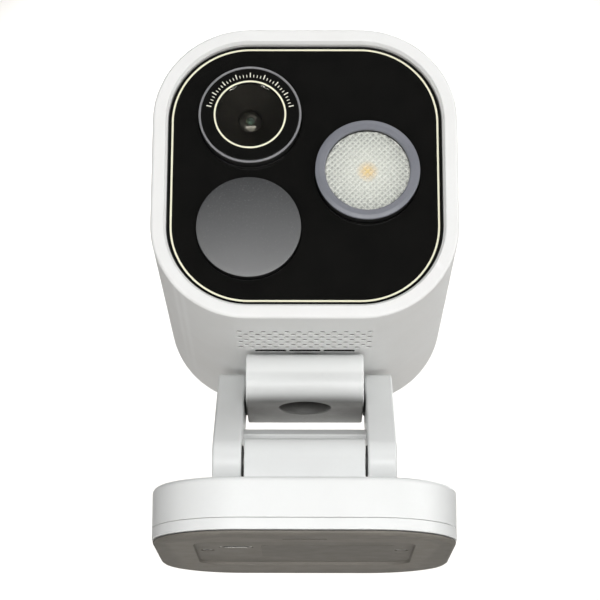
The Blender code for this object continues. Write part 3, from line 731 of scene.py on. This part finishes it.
def make_block():
    radius = 6.6
    side_view = filleted([
        (UPPER_Y, -40.8, 0), (26.0, -40.8, 5.0), (26.0, -54.0, 5.0), (UPPER_Y, -54.0, 0),
    ], closed=False, steps=10)
    side_view += arc((UPPER_Y, UPPER_Z), radius, -90, 90, 24)[1:-1]
    block = prism("swivel_block_skin", side_view, -TONGUE_HALF, TONGUE_HALF, "X", HEAD, BLOCK, 0.45)
    sink = [(0, -45.5), (7.0, -45.5), (7.0, -53.7), (7.4, -54.1), (7.4, -56), (0, -56)]
    combine(block, lathe("sink", sink, (0, PAN_Y), HEAD, BLOCK, "Z"))
    settle(block, "knuckle", "white_plastic", "swivel_block")

    # Painted shadow: the washer is dark grey, as the gap under the head is in shade.
    washer = filleted([(6.4, -40.75, 0.1), (6.4, -40.3, 0.1), (3.0, -40.3, 0.1), (3.0, -40.75, 0.1)])
    washer = lathe("swivel_washer_ring", washer, (0, PAN_Y), HEAD, SHADOWED_NYLON, "Z", closed=True)
    settle(washer, "knuckle", "nylon", "swivel_washer")
    # The dark swivel screw paints the shade deep in the recess under the block.
    make_screw("swivel_screw", (0, PAN_Y, -45.8), 6.2, -3.2, "Z", HEAD, "head", DARK_STEEL)


def make_arms():
    side_view = arc((LINK_LENGTH, 0), ARM_RADIUS, -90, 90, 28) + arc((0, 0), ARM_RADIUS, 90, 270, 28)
    section = rounded(3.2, 1.8, 0.4, centre=(WEB_AT, -0.2), steps=4)
    web = prism("web", section, -ARM_INNER - 2, ARM_INNER + 2, "X", ARM, WHITE_SATIN)
    arms = []
    for sign in (-1, 1):
        low, high = sorted((sign * ARM_INNER, sign * ARM_OUTER))
        arm = prism("arm", side_view, low, high, "X", ARM, WHITE_SATIN, 0.7, 4)
        for along in (0.0, LINK_LENGTH):
            outer = sign * (ARM_OUTER - 1.5)
            seat = [(0, outer), (4.5, outer), (4.5, sign * 25), (0, sign * 25)]
            combine(arm, lathe("seat", seat, (along, 0), ARM, WHITE_SATIN, "X"))
            inner = sign * (ARM_INNER + 0.8)
            pocket = [(0, inner), (5.0, inner), (5.0, sign * 15.0), (0, sign * 15.0)]
            combine(arm, lathe("pocket", pocket, (along, 0), ARM, WHITE_SATIN, "X"))
        arms.append(arm)
    link = combine(web, arms[0], "UNION")
    link = combine(link, arms[1], "UNION")
    link.name = "link_frame_skin"
    settle(link, "link", "white_plastic", "link_frame")
    for along, end in ((0.0, "lower"), (LINK_LENGTH, "upper")):
        for sign, side in ((-1, "left"), (1, "right")):
            node = f"{end}_{side}"
            inner, outer = sign * (ARM_OUTER - 1.2), sign * (ARM_OUTER - 0.1)
            cap = filleted([(0, inner, 0), (4.2, inner, 0), (4.2, outer, 0.35), (2.6, outer, 0.2),
                            (2.3, outer - sign * 0.25, 0.2), (0, outer - sign * 0.25, 0)], closed=False)
            settle(lathe("cap_" + node, cap, (along, 0), ARM, WHITE_SATIN, "X", steps=64), "link",
                   "white_plastic", "hinge_cap_" + node)


# --- base ----------------------------------------------------------------------------------------

def make_base():
    profile = filleted([(2.2, 4.28, 0.1), (0.0, 4.28, 0.15), (0.0, BASE_TOP, 1.4), (4.0, BASE_TOP, 0)],
                       closed=False, steps=8)
    cover = square_loft("base_cover", profile, BASE_SIDE, BASE_CORNER, "Z", BASE, WHITE_SATIN, closed=False,
                        steps=28)
    outline = arc((0.0, LOWER_Z), 6.5, 0, 180, 32) + [(-6.5, 9.0), (6.5, 9.0)]
    barrel = prism("barrel", outline, -TONGUE_HALF, TONGUE_HALF, "X", BASE, WHITE_SATIN, 0.4)
    combine(cover, barrel, "UNION")
    settle(cover, "base", "white_plastic", "base_housing")
    ring = filleted([(0.0, 4.18, 0.15), (0.0, 1.3, 0.3), (1.8, 1.3, 0.1), (1.8, 4.18, 0.1)])
    settle(square_loft("base_band", ring, BASE_SIDE, BASE_CORNER, "Z", BASE, WHITE_SATIN, steps=28), "base",
           "white_plastic", "base_ring")
    make_foot()


def make_foot():
    profile = filleted([(3.0, 3.0, 0), (2.1, 3.0, 0.1), (2.1, 1.0, 0), (0.2, 1.0, 0.1), (0.3, 0.5, 0.1),
                        (1.05, 0.0, 0.2), (3.0, 0.0, 0)], closed=False)
    foot = square_loft("foot_plate_skin", profile, BASE_SIDE, BASE_CORNER, "Z", BASE, FOOT, closed=False,
                       steps=28)
    recess = []
    wall = filleted([(-0.2, -0.5, 0), (0.0, 0.0, 0.08), (0.2, 0.78, 0.12), (3.0, 0.78, 0)], closed=False)
    for inset, z in wall:
        flat = rounded(56 - 2 * inset, 44 - 2 * inset, 6.5 - inset, centre=(0, -3), steps=14)
        recess.append([(a, b, z) for a, b in flat])
    combine(foot, loft("recess", recess, BASE, FOOT))
    for name, outline, depth in (
        ("port", rounded(8.9, 3.5, 1.7, centre=PORT, steps=8), 5),
        ("vent", rounded(11.3, 1.6, 0.75, centre=(0, -30), steps=8), 0.9),
    ):
        combine(foot, prism(name, outline, -1, depth, "Z", BASE, FOOT))
    for sign, side in ((-1, "left"), (1, "right")):
        sink = [(0, -1), (1.8, -1), (1.8, 2.9), (0, 2.9)]
        combine(foot, lathe("sink", sink, (sign * 25.0, -4.0), BASE, FOOT, "Z", steps=48))
        make_screw("base_screw_" + side, (sign * 25.0, -4.0, 2.4), 1.6, -1.4, "Z", BASE, "base")
    settle(foot, "base", "foot_grey", "foot_plate")

    outline = rounded(8.4, 3.2, 1.55, centre=PORT, steps=8)
    shell = prism("port_shell", outline, 0.85, 7.0, "Z", BASE, PORT_STEEL, 0.1)
    combine(shell, prism("mouth", rounded(7.4, 2.4, 1.15, centre=PORT, steps=8), 0, 6.8, "Z", BASE, DARK))
    settle(shell, "base", "steel", "service_port")
    # A dark plate just inside the port's mouth paints the shade inside the port.
    mouth = prism("port_mouth_painted_shade", rounded(7.2, 2.2, 1.05, centre=PORT, steps=8), 0.95, 1.25, "Z", BASE, DARK)
    settle(mouth, "base", "black_plastic")
    outline = rounded(34, 22, 2, centre=(6, -3), steps=6)
    label = prism("label_plate", outline, 0.72, 0.9, "Z", BASE, LABEL, 0.03)
    settle(label, "base", "label_film", "base_label")


# --- the CAD nodes that stay -----------------------------------------------------------------------

def dress_nodes():
    """Better materials for the CAD nodes that show, or nearly show, as they are."""
    finishes = {
        "hinge_pin_lower": STEEL, "hinge_pin_upper": STEEL, "port_tongue": BLACK, "image_sensor": BLACK,
        "front_carrier": BLACK, "inner_chassis": BLACK, "speaker": DARK, "microphone": BLACK,
        "motion_sensor": STEEL, "glass_gasket": BLACK, "rear_gasket": RUBBER, "swivel_insert": DARK,
    }
    for board in ("base_board", "camera_board", "sensor_board", "main_board", "driver_board", "antenna"):
        finishes[board] = BOARD
    for node in ("spotlight_reflector", "led_board", "heat_sink"):
        finishes[node] = STEEL
    finishes["led_chip"] = CREAM
    for end in ("lower", "upper"):
        for side in ("left", "right"):
            finishes[f"hinge_washer_{end}_{side}"] = SHADOWED_NYLON
    for node, finish in finishes.items():
        mesh = frame["nodes"][node].data
        mesh.materials.clear()
        mesh.materials.append(finish)


# --- studio, in metres ---------------------------------------------------------------------------

FLOOR_Z = -0.32


def make_camera():
    """Low in front, looking up, so that the foot plate's underside shows."""
    data = bpy.data.cameras.new("camera")
    data.sensor_width = 36.0
    data.lens = 125.65
    data.clip_start = 0.01
    camera = bpy.data.objects.new("camera", data)
    camera.location = HEAD @ Vector((1.84 * MM, -514.9 * MM, -188.5 * MM))
    yaw, elevation, roll = math.radians(0.337), math.radians(16.646), math.radians(0.154)
    turn = Matrix.Rotation(yaw, 3, "Z") @ Matrix.Rotation(math.pi / 2 + elevation, 3, "X")
    turn = HEAD.to_3x3() @ turn @ Matrix.Rotation(roll, 3, "Z")
    camera.rotation_euler = turn.to_euler()
    bpy.context.scene.collection.objects.link(camera)
    bpy.context.scene.camera = camera


def place_light(data, place, target):
    light = bpy.data.objects.new(data.name, data)
    light.location = place
    light.rotation_euler = (Vector(target) - Vector(place)).to_track_quat("-Z", "Y").to_euler()
    bpy.context.scene.collection.objects.link(light)


def area_light(name, place, size, power):
    """A soft box aimed at the middle of the object."""
    data = bpy.data.lights.new(name, "AREA")
    data.shape = "RECTANGLE"
    data.size, data.size_y = size
    data.energy = power
    place_light(data, place, (0.0, 0.0, 0.08))


def make_studio():
    """A pale sweep under and behind the object, and soft lights."""
    finish = Finish("backdrop", Roughness=0.9)
    mottle = finish.spread(finish.noise(400.0), 0, 1)
    finish.colour(finish.mix(mottle, (0.84, 0.825, 0.80), (0.82, 0.805, 0.78)))
    curve = [(-2.5, FLOOR_Z)] + arc((1.0, FLOOR_Z + 0.8), 0.8, -90, 0, 15) + [(1.8, 2.6)]
    work = bmesh.new()
    left = [work.verts.new((-3.0, y, z)) for y, z in curve]
    right = [work.verts.new((3.0, y, z)) for y, z in curve]
    for i in range(len(curve) - 1):
        work.faces.new((left[i], right[i], right[i + 1], left[i + 1]))
    mesh = bpy.data.meshes.new("backdrop")
    work.to_mesh(mesh)
    work.free()
    sweep = bpy.data.objects.new("backdrop", mesh)
    bpy.context.scene.collection.objects.link(sweep)
    mesh.materials.append(finish.material)
    mesh.shade_smooth()

    world = bpy.data.worlds.new("studio")
    world.use_nodes = True
    world.node_tree.nodes["Background"].inputs["Color"].default_value = (1.0, 1.0, 1.0, 1.0)
    world.node_tree.nodes["Background"].inputs["Strength"].default_value = 0.05
    bpy.context.scene.world = world
    bpy.context.scene.view_settings.view_transform = "Standard"

    area_light("front_low", (0.0, -1.3, -0.10), (1.2, 0.2), 10.0)
    area_light("under", (0.0, -0.45, -0.29), (0.5, 0.15), 0.25)
    area_light("front_high", (0.15, -0.9, 1.1), (0.9, 0.9), 4.2)
    area_light("top", (0.0, 0.25, 1.3), (1.2, 1.2), 2.5)
    area_light("right", (1.0, -0.35, 0.35), (0.8, 0.8), 5.0)
    area_light("left", (-1.0, -0.5, 0.35), (0.8, 0.8), 1.8)
    area_light("back", (0.5, 1.2, 0.7), (0.6, 0.6), 4.0)
    wash = bpy.data.lights.new("backdrop_wash", "SPOT")
    wash.energy = 90
    wash.spot_size = math.radians(64)
    wash.spot_blend = 0.6
    wash.shadow_soft_size = 0.1
    place_light(wash, (0.0, 0.75, 1.25), (0.0, 1.75, 0.5))


make_camera()
make_shell()
make_rear()
make_glass()
make_lens()
make_sensor()
make_spotlight()
make_block()
make_arms()
make_base()
dress_nodes()
make_studio()

bpy.context.view_layer.update()
